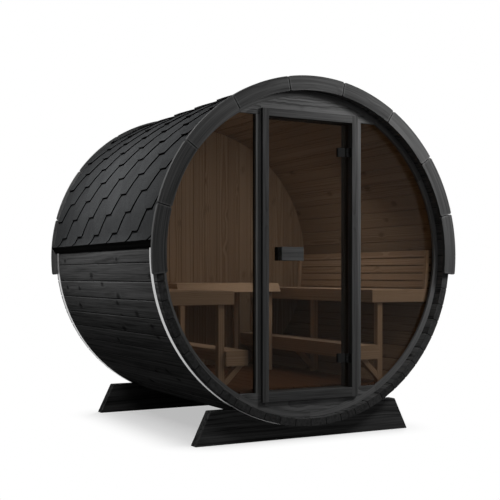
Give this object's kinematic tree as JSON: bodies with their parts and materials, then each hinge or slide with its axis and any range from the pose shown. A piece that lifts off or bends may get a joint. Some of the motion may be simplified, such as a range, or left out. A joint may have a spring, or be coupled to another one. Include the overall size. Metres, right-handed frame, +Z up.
{
  "type": "barrel sauna",
  "caption": "Barrel sauna of black-stained staves on cradle beams, with a shingled upper half, a glazed round front, a hinged glass door and tiered benches inside.",
  "frame": {"origin": "centre of the footprint's box, on the ground under the cradles", "axes": "+Z up, the barrel lies along Y and its glazed front faces -Y"},
  "size_m": [2.066, 1.81, 2.1068],
  "materials": {
    "stained_staves": "matt black stain outside, natural inside",
    "stained_beams": "matt black stain",
    "stained_trim": "matt black stain, worn edges",
    "stained_joinery": "matt black stain",
    "steel_band": "satin stainless",
    "bitumen_shingle": "mineral granules on bitumen",
    "bronze_glass": "bronze tinted, toughened",
    "black_fitting": "satin black",
    "stained_handle": "black stain",
    "natural_spruce": "planed, untreated",
    "floor_spruce": "planed, untreated",
    "bench_spruce": "planed, untreated"
  },
  "bodies": {
    "sauna": {"staves_top": "stained_staves", "staves_upper_left": "stained_staves", "staves_lower_left": "stained_staves", "staves_bottom": "stained_staves", "staves_lower_right": "stained_staves", "staves_upper_right": "stained_staves", "cradle_front": "stained_beams", "cradle_rear": "stained_beams", "trim_front": "stained_trim", "trim_rear": "stained_trim", "eave_strip_left": "stained_trim", "eave_strip_right": "stained_trim", "front_ring": "stained_joinery", "head_board": "stained_joinery", "sill_board": "stained_joinery", "post_left": "stained_joinery", "post_right": "stained_joinery", "door_stile_left": "stained_joinery", "door_stile_right": "stained_joinery", "door_head": "stained_joinery", "door_sill": "stained_joinery", "band_front": "steel_band", "band_rear": "steel_band", "roof_left": "bitumen_shingle", "roof_right": "bitumen_shingle", "window_left": "bronze_glass", "window_right": "bronze_glass", "hinge_brackets": "black_fitting", "rear_wall": "natural_spruce", "floor_boards": "floor_spruce", "floor_bearers": "floor_spruce", "bench_left_seat": "bench_spruce", "bench_right_seat": "bench_spruce", "bench_left_boards": "bench_spruce", "bench_right_boards": "bench_spruce", "bench_left_legs": "bench_spruce", "bench_right_legs": "bench_spruce", "step_left": "bench_spruce", "step_right": "bench_spruce", "backrest_left": "bench_spruce", "backrest_right": "bench_spruce", "back_bench_seat": "bench_spruce", "back_bench_frame": "bench_spruce"},
    "door": {"door_glass": "bronze_glass", "door_hinges": "black_fitting", "door_handle": "stained_handle", "door_pull": "stained_handle"}
  },
  "joints": [
    {"name": "door_hinge", "type": "hinge", "parent": "sauna", "child": "door", "pos_m": [0.266, -0.818, 1.077], "axis": [0, 0, 1], "range_deg": [0, 110]}
  ]
}
